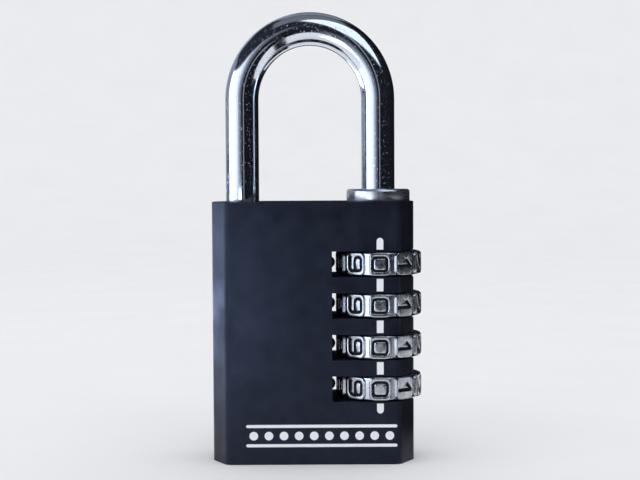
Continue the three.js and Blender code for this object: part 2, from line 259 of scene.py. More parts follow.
class Material:
    """A principled material whose looks are built from a few named layers."""

    def __init__(self, name, **sockets):
        self.material = bpy.data.materials.new(name)
        self.material.use_nodes = True
        self.nodes = self.material.node_tree.nodes
        self.links = self.material.node_tree.links
        self.shader = self.nodes["Principled BSDF"]
        self.coordinates = self.nodes.new("ShaderNodeTexCoord")
        for socket, value in sockets.items():
            self.shader.inputs[socket.replace("_", " ")].default_value = value
        self.height = None

    def noise(self, scale, detail, stretch=(1, 1, 1)):
        """Noise over the piece's own coordinates, about 0.5 on average."""
        mapping = self.nodes.new("ShaderNodeMapping")
        mapping.inputs["Scale"].default_value = stretch
        texture = self.nodes.new("ShaderNodeTexNoise")
        texture.inputs["Scale"].default_value = scale
        texture.inputs["Detail"].default_value = detail
        texture.inputs["Roughness"].default_value = 0.55
        self.links.new(self.coordinates.outputs["Object"], mapping.inputs["Vector"])
        self.links.new(mapping.outputs["Vector"], texture.inputs["Vector"])
        return texture.outputs["Fac"]

    def remap(self, value, low, high, from_low=0.3, from_high=0.7):
        """Maps a value's from_low to from_high span on to low to high."""
        ramp = self.nodes.new("ShaderNodeMapRange")
        ramp.inputs["From Min"].default_value = from_low
        ramp.inputs["From Max"].default_value = from_high
        ramp.inputs["To Min"].default_value = low
        ramp.inputs["To Max"].default_value = high
        self.links.new(value, ramp.inputs["Value"])
        return ramp.outputs["Result"]

    def vary_roughness(self, value, low, high):
        """Lets the roughness follow a value from low to high."""
        self.links.new(self.remap(value, low, high), self.shader.inputs["Roughness"])

    def mix_colour(self, factor, first, second):
        """Lets the base colour follow a factor from the first colour to the second."""
        mix = self.nodes.new("ShaderNodeMix")
        mix.data_type = "RGBA"
        self.links.new(factor, mix.inputs["Factor"])
        for socket, colour in (("A", first), ("B", second)):
            target = [s for s in mix.inputs if s.name == socket and s.type == "RGBA"][0]
            target.default_value = (*colour, 1)
        result = [s for s in mix.outputs if s.type == "RGBA"][0]
        self.links.new(result, self.shader.inputs["Base Color"])

    def bump(self, value, depth_mm, strength):
        """Adds a layer of relief; layers stack."""
        node = self.nodes.new("ShaderNodeBump")
        node.inputs["Strength"].default_value = strength
        node.inputs["Distance"].default_value = depth_mm * MM
        self.links.new(value, node.inputs["Height"])
        if self.height is not None:
            self.links.new(self.height, node.inputs["Normal"])
        self.height = node.outputs["Normal"]
        self.links.new(self.height, self.shader.inputs["Normal"])


def black_coat():
    """Semi-gloss black paint on a die casting, with a faint blue sheen."""
    m = Material("black_coat", Metallic=0.0, IOR=1.52)
    m.shader.inputs["Specular Tint"].default_value = (0.52, 0.618, 0.945, 1)
    m.mix_colour(m.remap(m.noise(280, 4), 0, 1), (0.0004, 0.0006, 0.0015), (0.0066, 0.0080, 0.0140))
    m.vary_roughness(m.noise(170, 4), 0.34, 0.54)
    m.bump(m.noise(1400, 2), 0.004, 0.35)
    m.bump(m.noise(9000, 1), 0.001, 0.25)
    return m.material


def chrome_plate():
    """Polished chrome with a scatter of small pits."""
    m = Material("chrome_plate", Metallic=1.0)
    m.mix_colour(m.remap(m.noise(90, 2), 0, 1), (0.76, 0.80, 0.88), (0.83, 0.86, 0.92))
    m.vary_roughness(m.noise(700, 4), 0.08, 0.13)
    m.bump(m.noise(2500, 3), 0.001, 0.25)
    m.bump(m.remap(m.noise(3000, 2), 0, 1, 0.655, 0.73), 0.02, 0.8)
    return m.material


def nickel_plate():
    """Worn nickel of uneven brightness, for the dials."""
    m = Material("nickel_plate", Metallic=1.0)
    m.mix_colour(m.remap(m.noise(700, 4), 0, 1), (0.46, 0.485, 0.53), (0.62, 0.65, 0.70))
    m.vary_roughness(m.noise(1500, 4), 0.16, 0.30)
    m.bump(m.noise(1500, 3), 0.004, 0.35)
    return m.material


def satin_chrome():
    """Chrome with fine turning marks, for the collar."""
    m = Material("satin_chrome", Metallic=1.0)
    m.mix_colour(m.remap(m.noise(500, 3), 0, 1), (0.68, 0.70, 0.74), (0.80, 0.82, 0.86))
    m.vary_roughness(m.noise(900, 4, stretch=(0.3, 0.3, 1)), 0.20, 0.34)
    m.bump(m.noise(2500, 3, stretch=(0.3, 0.3, 1)), 0.004, 0.5)
    return m.material


def black_fill():
    """Dull black paint in the digits."""
    m = Material("black_fill", Roughness=0.6, IOR=1.3)
    m.mix_colour(m.remap(m.noise(900, 3), 0, 1), (0.0015, 0.0015, 0.002), (0.004, 0.004, 0.005))
    m.bump(m.noise(3000, 2), 0.004, 0.5)
    return m.material


def white_paint():
    """White paint of the index line and the print."""
    m = Material("white_paint", Roughness=0.4)
    m.mix_colour(m.remap(m.noise(800, 3), 0, 1), (0.82, 0.85, 0.89), (0.88, 0.90, 0.93))
    m.bump(m.noise(2500, 3), 0.004, 0.5)
    return m.material


def turned_brass():
    """Brass with turning marks, for the inner pieces."""
    m = Material("turned_brass", Metallic=1.0)
    m.mix_colour(m.remap(m.noise(500, 3), 0, 1), (0.62, 0.44, 0.17), (0.74, 0.55, 0.24))
    m.vary_roughness(m.noise(1200, 4, stretch=(0.1, 0.1, 1)), 0.22, 0.4)
    m.bump(m.noise(4000, 2, stretch=(0.05, 0.05, 1)), 0.003, 0.5)
    return m.material


def spring_steel():
    """Bright steel of the springs, the balls and the snap ring."""
    m = Material("spring_steel", Metallic=1.0)
    m.mix_colour(m.remap(m.noise(500, 3), 0, 1), (0.42, 0.43, 0.45), (0.55, 0.56, 0.58))
    m.vary_roughness(m.noise(1500, 4), 0.2, 0.35)
    m.bump(m.noise(4000, 2), 0.002, 0.4)
    return m.material


def studio_paper():
    """Matt pale paper for the floor and wall."""
    m = Material("studio_paper", Roughness=0.85, Specular_IOR_Level=0.0)
    m.mix_colour(m.remap(m.noise(30, 3), 0, 1), (0.90, 0.90, 0.905), (0.92, 0.92, 0.925))
    return m.material


BLACK_COAT = black_coat()
CHROME = chrome_plate()
SATIN_CHROME = satin_chrome()
NICKEL = nickel_plate()
BLACK_FILL = black_fill()
WHITE_PAINT = white_paint()
BRASS = turned_brass()
STEEL = spring_steel()
PAPER = studio_paper()


def finish_piece(obj, material, body, slot, *replaced):
    """Gives a piece its material and its body, and hides the CAD nodes that it stands for; the slot is
    not used.
    """
    obj.data.materials.append(material)
    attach(obj, body)
    if replaced:
        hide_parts(*replaced)


# ---- Body ---------------------------------------------------------------------------------

# The front and back are flat out to PANEL_HALF, the sides out to SIDE_FLAT_HALF, with bevels
# between them.
PANEL_HALF = 17.0
SIDE_FLAT_HALF = 3.0
CORNER_ROUND = 0.9
EDGE_ROUND = 0.38
SLOT_HEIGHT = 5.0
SLOT_LEFT = 3.75
SLOT_FLARE = 0.6
HEEL_BORE = 5.25
LEG_CLEARANCE = 0.35
TOE_BORE = BAR_RADIUS + LEG_CLEARANCE
TOE_DEPTH = 6.5
TOE_FOOT = BODY_TOP - TOE_DEPTH
TOE_SLACK = 1.2
DETENT_BORE = 1.45
DETENT_END = -3.2
INDEX_WIDTH = 1.4
INDEX_LOW = 10.0
INDEX_HIGH = 44.5
INDEX_DEPTH = 0.15
# How far a cutting tool reaches past the surface that it cuts.
BEYOND = 2.0


def body_outline():
    """The body's outline from above: a rectangle with bevelled and slightly rounded corners."""
    quarter = [(PANEL_HALF, -BODY_FACE), (BODY_SIDE, -SIDE_FLAT_HALF)]
    right = quarter + [(x, -y) for x, y in reversed(quarter)]
    left = [(-x, -y) for x, y in right]
    return rounded_path(right + left, CORNER_ROUND, 5, closed=True)


def capsule(x, low, high, half):
    """An upright slot-shaped outline with round ends."""
    steps = 8
    arc = [math.pi * i / steps for i in range(steps + 1)]
    top = [(x + half * math.cos(a), high - half + half * math.sin(a)) for a in arc]
    foot = [(x - half * math.cos(a), low + half - half * math.sin(a)) for a in arc]
    return top + foot


def slot_outline():
    """A dial slot about its middle height, its corners rounded off at the body's side."""
    half = SLOT_HEIGHT / 2
    steps = 5
    upper = []
    for i in range(steps + 1):
        angle = math.pi / 2 * i / steps
        x = BODY_SIDE - SLOT_FLARE * (1 - math.sin(angle))
        upper.append((x, half + SLOT_FLARE * (1 - math.cos(angle))))
    upper = [(SLOT_LEFT, half)] + upper + [(BODY_SIDE + BEYOND, half + SLOT_FLARE)]
    return upper + [(x, -height) for x, height in reversed(upper)]


def build_body():
    """The die-cast body with its slots, bores and index groove."""
    body = prism("padlock_body", body_outline(), 0, BODY_TOP)
    for z in dial_zs:
        slot = [(x, z + height) for x, height in slot_outline()]
        boolean(body, prism("slot", slot, -BODY_FACE - BEYOND, BODY_FACE + BEYOND, "Y"))
    boolean(body, prism("bore", circle(HEEL_X, 0, HEEL_BORE, 64), -BEYOND, BODY_TOP + BEYOND))
    toe = circle(TOE_X, 0, TOE_BORE, 48)
    boolean(body, prism("toe", toe, TOE_FOOT - TOE_SLACK, BODY_TOP + BEYOND))

    round_edges(body, EDGE_ROUND, 3, 28)

    groove = capsule(HEEL_X, INDEX_LOW, INDEX_HIGH, INDEX_WIDTH / 2)
    boolean(body, prism("index", groove, -BODY_FACE - BEYOND, INDEX_DEPTH - BODY_FACE, "Y"))
    for z in dial_zs:
        bore = prism("detent_bore", circle(0, z, DETENT_BORE, 32), DETENT_END, SLOT_LEFT + 1, "X")
        boolean(body, bore)
    shade(body.data, 32)
    flatten_normals(body)
    finish_piece(body, BLACK_COAT, "case", "black_body", "case_body")


# ---- Index line and print -----------------------------------------------------------------

PAINT_SUNK = 0.03
PAINT_THICK = 0.1
PAINT_SLACK = 0.04
EDGE_CLEAR = 0.35


def build_index_line():
    """White paint in the index groove, broken where the slots cross it."""
    half = INDEX_WIDTH / 2 - PAINT_SLACK
    outline = capsule(HEEL_X, INDEX_LOW + PAINT_SLACK, INDEX_HIGH - PAINT_SLACK, half)
    front = PAINT_SUNK - BODY_FACE
    line = prism("index_line", outline, front, front + PAINT_THICK, "Y")
    for z in dial_zs:
        gap = SLOT_HEIGHT / 2 + EDGE_CLEAR
        left, right = HEEL_X - INDEX_WIDTH, HEEL_X + INDEX_WIDTH
        cut = [(left, z - gap), (right, z - gap), (right, z + gap), (left, z + gap)]
        boolean(line, prism("cut", cut, -BODY_FACE - 1, -BODY_FACE + 1, "Y"))
    finish_piece(line, WHITE_PAINT, "case", "white_paint")


PRINT_LEFT = -13.2
PRINT_RIGHT = 16.4
PRINT_LOW = 3.5
PRINT_HIGH = 7.9
PRINT_PROUD = 0.02
RULE_HALF = 0.3
DOT_RADIUS = 0.85
DOT_COUNT = 10


def build_print():
    """A plain band of white print near the foot: a row of dots between two rules."""
    front = -PRINT_PROUD - BODY_FACE
    back = PRINT_PROUD + PAINT_THICK - BODY_FACE
    middle = (PRINT_LOW + PRINT_HIGH) / 2
    marks = []
    for z in (PRINT_LOW + RULE_HALF, PRINT_HIGH - RULE_HALF):
        outline = [(x, z + y - middle) for y, x in capsule(middle, PRINT_LEFT, PRINT_RIGHT, RULE_HALF)]
        marks.append(prism("rule", outline, front, back, "Y"))
    for i in range(DOT_COUNT):
        x = PRINT_LEFT + (PRINT_RIGHT - PRINT_LEFT) * (i + 0.5) / DOT_COUNT
        marks.append(prism("dot", circle(x, middle, DOT_RADIUS, 32), front, back, "Y"))
    band = marks[0]
    for mark in marks[1:]:
        join(band, mark)
    band.name = "front_print"
    finish_piece(band, WHITE_PAINT, "case", "white_paint")


# ---- Shackle and collar -------------------------------------------------------------------

# The legs are straight up to BOW_SPRING.
LEG_SHOWN = 20.2
BOW_SPRING = BODY_TOP + LEG_SHOWN
BOW_STEPS = 64
# The toe's rounded end: heights above its foot, and how far inside the bar's radius it is there.
TOE_END = [(0, 0.75), (0.12, 0.42), (0.35, 0.17), (0.7, 0.03), (1.0, 0)]
SHOULDER = 43.6
SHOULDER_CHAMFER = 0.3
SPINDLE_RADIUS = 2.3
SPINDLE_FOOT = 4.6
SPINDLE_CHAMFER = 0.3
RING_Z = 5.2
RING_THICKNESS = 1.0
RING_RADIUS = 3.4
RING_GROOVE = 1.8
RING_SLACK = 0.15
RING_GAP = 30
# The fins' heights count from the middle of their dial.
FIN_REACH = 3.2
FIN_HALF_WIDTH = 0.8
FIN_HEIGHT = 1.6
FIN_TOP = -0.5
# A radius small enough to close a turned profile on its axis.
ON_AXIS = 0.01


def build_shackle():
    """The bent bar, with the spindle and its fins below the heel leg."""
    centre = (HEEL_X + TOE_X) / 2
    half_span = (HEEL_X - TOE_X) / 2
    rise = shackle_high.z - BAR_RADIUS - BOW_SPRING
    path = [(TOE_X, 0, TOE_FOOT + height) for height, _ in TOE_END]
    radii = [BAR_RADIUS - inset for _, inset in TOE_END]
    for i in range(BOW_STEPS + 1):
        angle = math.pi * (1 - i / BOW_STEPS)
        path.append((centre + half_span * math.cos(angle), 0, BOW_SPRING + rise * math.sin(angle)))
    path += [(HEEL_X, 0, SHOULDER + SHOULDER_CHAMFER), (HEEL_X, 0, SHOULDER)]
    radii += [BAR_RADIUS] * (BOW_STEPS + 2) + [BAR_RADIUS - SHOULDER_CHAMFER]
    bar = swept("shackle_bar", path, radii, 64)

    groove_low = RING_Z - RING_SLACK
    groove_high = RING_Z + RING_THICKNESS + RING_SLACK
    spindle = turned("spindle", [
        (ON_AXIS, SPINDLE_FOOT),
        (SPINDLE_RADIUS - SPINDLE_CHAMFER, SPINDLE_FOOT),
        (SPINDLE_RADIUS, SPINDLE_FOOT + SPINDLE_CHAMFER),
        (SPINDLE_RADIUS, groove_low),
        (RING_GROOVE, groove_low),
        (RING_GROOVE, groove_high),
        (SPINDLE_RADIUS, groove_high),
        (SPINDLE_RADIUS, SHOULDER + 1),
        (ON_AXIS, SHOULDER + 1),
    ], 64)
    boolean(bar, spindle, "UNION")
    half_angle = math.asin(FIN_HALF_WIDTH / FIN_REACH)
    arc = [math.pi + half_angle * (i / 3 - 1) for i in range(7)]
    fin = [(HEEL_X + FIN_REACH * math.cos(a), FIN_REACH * math.sin(a)) for a in arc]
    fin += [(HEEL_X - 1, -FIN_HALF_WIDTH), (HEEL_X - 1, FIN_HALF_WIDTH)]
    for z in dial_zs:
        boolean(bar, prism("fin", fin, z + FIN_TOP - FIN_HEIGHT, z + FIN_TOP), "UNION")
    shade(bar.data, 35)
    finish_piece(bar, CHROME, "shackle", "chrome", "shackle")


def build_retaining_ring():
    """The open snap ring in the spindle's groove."""
    inner = RING_GROOVE + 0.1
    gap = math.radians(RING_GAP)
    steps = 40
    arc = [gap + (TAU - 2 * gap) * i / steps for i in range(steps + 1)]
    outer = [(HEEL_X + RING_RADIUS * math.cos(a), RING_RADIUS * math.sin(a)) for a in arc]
    bore = [(HEEL_X + inner * math.cos(a), inner * math.sin(a)) for a in reversed(arc)]
    ring = prism("snap_ring", outer + bore, RING_Z, RING_Z + RING_THICKNESS)
    round_edges(ring, 0.1, 2, 30)
    shade(ring.data, 35)
    finish_piece(ring, STEEL, "shackle", "spring_steel", "retaining_ring")


def build_collar():
    """The bush round the heel leg, with a rounded crown and a small round at its foot."""
    bore = BAR_RADIUS + LEG_CLEARANCE
    tube = 5.1
    top = collar_high.z
    crown = 0.55
    lip = 0.3
    foot = 0.15
    seat = BODY_TOP + 0.01
    profile = [(bore, collar_low.z), (tube, collar_low.z), (tube, seat)]
    profile += quarter_round(COLLAR_RADIUS - foot, seat + foot, foot, -90, 3)
    profile += quarter_round(COLLAR_RADIUS - crown, top - crown, crown, 0, 7)
    profile += quarter_round(bore + lip, top - lip, lip, 90, 4)
    collar = turned("heel_collar", profile, 128, 50)
    finish_piece(collar, SATIN_CHROME, "case", "chrome", "guide_collar")


# ---- Dials --------------------------------------------------------------------------------

# Heights in this section count from a dial's middle.
PAD_COUNT = 10
PAD_FLAT = 8.36
PAD_HALF_WIDTH = 2.0
PAD_HALF_HEIGHT = 2.18
PAD_CORNER = 0.75
PAD_EDGE = 0.16
PAD_ROOT = 7.7
PAD_DRAFT = 0.26
# A pad's sides from its face down: growth along and across the dial, and radius.
PAD_SIDES = [(PAD_EDGE * grow, PAD_EDGE * grow, PAD_FLAT - PAD_EDGE * sink)
             for grow, sink in [(0.62, 0.08), (0.9, 0.3), (1.0, 0.7), (1.0, 1.0)]]
PAD_SIDES.append((PAD_EDGE + PAD_DRAFT, PAD_EDGE, PAD_ROOT))
DIAL_RING_RADIUS = 8.1
DIAL_BLANK_BORE = 4.5
RIM_ROUND = 0.45
SPLINE_TIP = 5.2
SPLINE_ROOT = 5.95
SPLINE_LOW = 0.95
# A digit's stroke in section, from the pad's face down: half width and depth.
STROKE_LEVELS = [(0.41, 0.0), (0.28, 0.055), (0.255, 0.16)]
DIGIT_HALF_WIDTH = 1.32
DIGIT_HALF_HEIGHT = 1.4
DIGIT_ROUND = 0.8


def digit_paths(digit):
    """Pen strokes of a plain square-shouldered digit, u to its right and v up."""
    a, b = DIGIT_HALF_WIDTH, DIGIT_HALF_HEIGHT
    strokes = {
        0: [[(-a, 0), (-a, b), (a, b), (a, 0)], [(a, 0), (a, -b), (-a, -b), (-a, 0)]],
        1: [[(0.35, -b), (0.35, b)], [(0.35, b), (-0.75, 0.55)]],
        2: [[(-a, 0.7), (-a, b), (a, b), (a, 0), (-a, -b)], [(-a, -b), (a, -b)]],
        3: [[(-a, b), (a, b), (a, 0), (-0.2, 0)], [(-0.2, 0), (a, 0), (a, -b), (-a, -b)]],
        4: [[(0.5, -b), (0.5, b)], [(0.5, b), (-a, -0.5)], [(-a, -0.5), (a, -0.5)]],
        5: [[(a, b), (-a, b), (-a, 0.15)], [(-a, 0.15), (a, 0.15), (a, -b), (-a, -b)]],
        6: [[(a, b), (-a, b), (-a, -b), (0, -b)], [(0, -b), (a, -b), (a, 0.1), (-a, 0.1)]],
        7: [[(-a, b), (a, b)], [(a, b), (-0.3, -b)]],
        8: [[(-a, 0), (-a, b), (a, b), (a, 0)], [(a, 0), (a, -b), (-a, -b), (-a, 0)], [(-a, 0), (a, 0)]],
    }
    if digit == 9:
        return [[(-u, -v) for u, v in path] for path in strokes[6]]
    return strokes[digit]


def stroke_outline(path, half):
    """The outline of a pen stroke of that half width along a path, with round ends."""
    cap_steps = 6
    points = rounded_path(path, DIGIT_ROUND, 6)
    count = len(points)
    normals = []
    for i in range(count):
        ahead = (points[min(i + 1, count - 1)] - points[max(i - 1, 0)]).normalized()
        normals.append(Vector((ahead.y, -ahead.x)))
    right = [p + n * half for p, n in zip(points, normals)]
    left = [p - n * half for p, n in zip(points, normals)]

    def cap(centre, start):
        base = math.atan2(start.y, start.x)
        turns = [base + math.pi * k / cap_steps for k in range(1, cap_steps)]
        return [centre + Vector((math.cos(t), math.sin(t))) * half for t in turns]

    return right + cap(points[-1], normals[-1]) + left[::-1] + cap(points[0], -normals[0])


def pad_face(digit):
    """A pad's face laid flat, u to the right and v up: its points, triangles and their levels.

    The triangles' levels count from 0 on the plain face to the floor of the digit. The digits lie
    on their sides: a digit's top points along u and its right side down.
    """
    half_width = PAD_HALF_WIDTH - PAD_EDGE
    half_height = PAD_HALF_HEIGHT - PAD_EDGE
    corners = [(-half_width, -half_height), (half_width, -half_height),
               (half_width, half_height), (-half_width, half_height)]
    outlines = [rounded_path(corners, PAD_CORNER, 5, closed=True)]
    strokes = digit_paths(digit)
    for half, _ in STROKE_LEVELS:
        for path in strokes:
            outlines.append([Vector((v, -u)) for u, v in stroke_outline(path, half)])
    points, loops = [], []
    for outline in outlines:
        loops.append(list(range(len(points), len(points) + len(outline))))
        points += outline
    points, _, triangles, _, _, origins = delaunay_2d_cdt(points, [], loops, 1, 1e-5)
    levels = [(max(origin) - 1) // len(strokes) if max(origin) > 0 else 0 for origin in origins]
    return points, triangles, levels


def rim_of(triangles):
    """The points round the outside of a patch of triangles, in order."""
    uses = {}
    for triangle in triangles:
        for i, j in zip(triangle, triangle[1:] + triangle[:1]):
            side = (min(i, j), max(i, j))
            uses[side] = uses.get(side, 0) + 1
    rim = [side for side, count in uses.items() if count == 1]
    neighbours = {}
    for i, j in rim:
        neighbours.setdefault(i, []).append(j)
        neighbours.setdefault(j, []).append(i)
    order = [rim[0][0], rim[0][1]]
    while len(order) < len(rim):
        here, last = order[-1], order[-2]
        order.append([k for k in neighbours[here] if k != last][0])
    return order


def add_pad(bm, digit):
    """Adds one pad to a bmesh, its digit sunk with a bevelled rim and its floor in material 1."""
    turn = Matrix.Rotation(math.radians(-90 + digit * 360 / PAD_COUNT), 3, "Z")

    def place(u, v, r):
        """u runs round the dial towards higher digits, v up."""
        return bm.verts.new((Vector((HEEL_X, 0, 0)) + turn @ Vector((r, u, v))) * MM)

    points, triangles, levels = pad_face(digit)
    depths = [0.0] * len(points)
    for triangle, level in zip(triangles, levels):
        for i in triangle:
            depths[i] = max(depths[i], STROKE_LEVELS[level][1])
    face = [place(p.x, p.y, PAD_FLAT - depth) for p, depth in zip(points, depths)]
    for triangle, level in zip(triangles, levels):
        bm.faces.new([face[i] for i in triangle]).material_index = level // 2

    rim = rim_of(triangles)
    above = [face[i] for i in rim]
    for grow_u, grow_v, radius in PAD_SIDES:
        below = []
        for i in rim:
            p = points[i]
            outward = Vector(((p.x / PAD_HALF_WIDTH) ** 5, (p.y / PAD_HALF_HEIGHT) ** 5)).normalized()
            below.append(place(p.x + outward.x * grow_u, p.y + outward.y * grow_v, radius))
        for k in range(len(rim)):
            n = (k + 1) % len(rim)
            bm.faces.new([above[k], above[n], below[n], below[k]])
        above = below
    bm.faces.new(above)


def dial_ring():
    """The ring under the pads, with ten grooves in the upper part of its bore."""
    half = DIAL_HEIGHT / 2
    profile = [(DIAL_BLANK_BORE, -half)]
    profile += quarter_round(DIAL_RING_RADIUS - RIM_ROUND, RIM_ROUND - half, RIM_ROUND, -90, 6)
    profile += quarter_round(DIAL_RING_RADIUS - RIM_ROUND, half - RIM_ROUND, RIM_ROUND, 0, 6)
    profile.append((DIAL_BLANK_BORE, half))
    ring = turned("dial_ring", profile, 120, 40)
    boolean(ring, prism("bore", circle(HEEL_X, 0, SPLINE_ROOT, 60), -half - 1, SPLINE_LOW))
    spline = []
    for i in range(PAD_COUNT):
        for radius, offset in ((SPLINE_TIP, -9), (SPLINE_ROOT, -8), (SPLINE_ROOT, 8), (SPLINE_TIP, 9)):
            angle = math.radians(360 / PAD_COUNT * i + offset)
            spline.append((HEEL_X + radius * math.cos(angle), radius * math.sin(angle)))
    boolean(ring, prism("spline", spline, SPLINE_LOW - 0.5, half + 1))
    return ring


def build_dials():
    """Four equal dials, made once and copied."""
    ring = dial_ring()
    bm = bmesh.new()
    bm.from_mesh(ring.data)
    for digit in range(PAD_COUNT):
        add_pad(bm, digit)
    bmesh.ops.recalc_face_normals(bm, faces=bm.faces)
    bm.to_mesh(ring.data)
    bm.free()
    shade(ring.data, 32)
    flatten_normals(ring)
    for number, (name, z) in enumerate(zip(DIALS, dial_zs), 1):
        dial = add_object(f"number_dial_{number}", ring.data.copy())
        dial.data.transform(Matrix.Translation((0, 0, z * MM)))
        finish_piece(dial, NICKEL, name, "nickel_plate", name)
        dial.data.materials.append(BLACK_FILL)
    bpy.data.objects.remove(ring)


# ---- Inner pieces -------------------------------------------------------------------------

# The sleeves' heights count from the middle of their dial.
SLEEVE_RADIUS = 4.9
SLEEVE_BORE = 3.75
SLEEVE_HALF = 3.975
WEB_LOW = 1.0
WEB_HIGH = 2.6
WEB_BORE = 2.6
GATE_HALF = 1.1
TAB_HALF = 0.6
TAB_ROOT = 4.3
TAB_REACH = 5.7
TAB_LOW = 0.75
TAB_HIGH = 2.05
SMALL_ROUND = 0.2


def build_sleeves():
    """Brass tumblers: a tube with an inner web, a gate in the web and a driving tab."""
    profile = [(SLEEVE_BORE, -SLEEVE_HALF)]
    rounded = SLEEVE_RADIUS - SMALL_ROUND
    profile += quarter_round(rounded, SMALL_ROUND - SLEEVE_HALF, SMALL_ROUND, -90, 3)
    profile += quarter_round(rounded, SLEEVE_HALF - SMALL_ROUND, SMALL_ROUND, 0, 3)
    profile += [(SLEEVE_BORE, SLEEVE_HALF), (SLEEVE_BORE, WEB_HIGH), (WEB_BORE, WEB_HIGH),
                (WEB_BORE, WEB_LOW), (SLEEVE_BORE, WEB_LOW)]
    sleeve = turned("sleeve", profile, 72)
    gate = [(HEEL_X - SLEEVE_BORE, -GATE_HALF), (HEEL_X, -GATE_HALF),
            (HEEL_X, GATE_HALF), (HEEL_X - SLEEVE_BORE, GATE_HALF)]
    boolean(sleeve, prism("gate", gate, WEB_LOW - 0.5, WEB_HIGH + 0.5))
    tab = [(HEEL_X + TAB_ROOT, -TAB_HALF), (HEEL_X + TAB_REACH, -TAB_HALF),
           (HEEL_X + TAB_REACH, TAB_HALF), (HEEL_X + TAB_ROOT, TAB_HALF)]
    boolean(sleeve, prism("tab", tab, TAB_LOW, TAB_HIGH), "UNION")
    shade(sleeve.data, 35)
    for number, z in enumerate(dial_zs, 1):
        copy = add_object(f"tumbler_{number}", sleeve.data.copy())
        copy.data.transform(Matrix.Translation((0, 0, z * MM)))
        finish_piece(copy, BRASS, f"sleeve_{number}", "brass", f"code_sleeve_{number}")
    bpy.data.objects.remove(sleeve)


def helix(radius, length, turns, steps_per_turn):
    """Points of a coil along Z with its end turns closed up."""
    count = turns * steps_per_turn
    closing = 0.6
    points = []
    for i in range(count + 1):
        t = i / count
        rise = t - math.sin(TAU * t) / TAU * closing
        angle = TAU * turns * t
        points.append(Vector((radius * math.cos(angle), radius * math.sin(angle), length * rise)))
    return points


STACK_WIRE = 0.35
STACK_TURNS = 4
DETENT_WIRE = 0.15
DETENT_TURNS = 6


def build_stack_spring():
    """The coil under the sleeves, which shortens as they slide down."""
    low, high = node_box("stack_spring")
    length = high.z - low.z
    radius = (high.x - low.x) / 2 - STACK_WIRE
    coil = helix(radius, length - 2 * STACK_WIRE, STACK_TURNS, 32)
    path = [p + Vector((HEEL_X, 0, low.z + STACK_WIRE)) for p in coil]
    spring = swept("stack_coil", path, [STACK_WIRE] * len(path), 12)
    finish_piece(spring, STEEL, "case", "spring_steel", "stack_spring")
    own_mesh(spring)


def build_detent_spring(number, z):
    """The coil behind a detent ball, which shortens as the ball is pressed in."""
    low, high = node_box(f"detent_spring_{number}")
    length = high.x - low.x
    radius = (high.z - low.z) / 2 - DETENT_WIRE
    coil = helix(radius, length - 2 * DETENT_WIRE, DETENT_TURNS, 24)
    path = [(low.x + DETENT_WIRE + p.z, p.y, z + p.x) for p in coil]
    spring = swept(f"detent_coil_{number}", path, [DETENT_WIRE] * len(path), 10)
    finish_piece(spring, STEEL, "case", "spring_steel", f"detent_spring_{number}")
    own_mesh(spring)


def build_ball(number):
    """The ball at the left end of a slot."""
    low, high = node_box(f"detent_ball_{number}")
    bm = bmesh.new()
    bmesh.ops.create_icosphere(bm, subdivisions=4, radius=(high.x - low.x) / 2 * MM)
    bmesh.ops.translate(bm, verts=bm.verts, vec=(low + high) / 2 * MM)
    mesh = bpy.data.meshes.new(f"steel_ball_{number}")
    bm.to_mesh(mesh)
    bm.free()
    mesh.shade_smooth()
    ball = add_object(f"steel_ball_{number}", mesh)
    finish_piece(ball, STEEL, f"ball_{number}", "spring_steel", f"detent_ball_{number}")


def build_springs_and_balls():
    """The stack spring, and each slot's detent spring and ball."""
    build_stack_spring()
    for number, z in enumerate(dial_zs, 1):
        build_detent_spring(number, z)
        build_ball(number)


WASHER_ROUND = 0.15
PLUG_ROUND = 0.4
SOCKET_RADIUS = 1.6
SOCKET_DEPTH = 1.2
SOCKET_CHAMFER = 0.25


def build_washer():
    """The flat stop above the sleeves."""
    low, high = node_box("stop_washer")
    rounded = SLEEVE_RADIUS - WASHER_ROUND
    profile = [(SLEEVE_BORE, low.z)]
    profile += quarter_round(rounded, low.z + WASHER_ROUND, WASHER_ROUND, -90, 3)
    profile += quarter_round(rounded, high.z - WASHER_ROUND, WASHER_ROUND, 0, 3)
    profile.append((SLEEVE_BORE, high.z))
    finish_piece(turned("thrust_washer", profile, 72), BRASS, "case", "brass", "stop_washer")


def build_plug():
    """The disc that closes the heel bore from below, with a small round socket."""
    low, high = node_box("bottom_plug")
    radius = (high.x - low.x) / 2
    profile = [
        (ON_AXIS, low.z + SOCKET_DEPTH),
        (SOCKET_RADIUS, low.z + SOCKET_DEPTH),
        (SOCKET_RADIUS, low.z + SOCKET_CHAMFER),
        (SOCKET_RADIUS + SOCKET_CHAMFER, low.z),
    ]
    profile += quarter_round(radius - PLUG_ROUND, low.z + PLUG_ROUND, PLUG_ROUND, -90, 4)
    profile += [(radius, high.z), (ON_AXIS, high.z)]
    finish_piece(turned("foot_plug", profile, 96), BLACK_COAT, "case", "black_body", "bottom_plug")


build_body()
build_index_line()
build_print()
build_shackle()
build_retaining_ring()
build_collar()
build_dials()
build_sleeves()
build_springs_and_balls()
build_washer()
build_plug()


# ---- Camera, floor and light --------------------------------------------------------------

CAMERA_RIGHT = 1.44
CAMERA_AWAY = 270
CAMERA_ABOVE_BODY = 4.67
CAMERA_TILT = 2.64
CAMERA_ROLL = -0.29
LENS = 75.85
SENSOR = 36


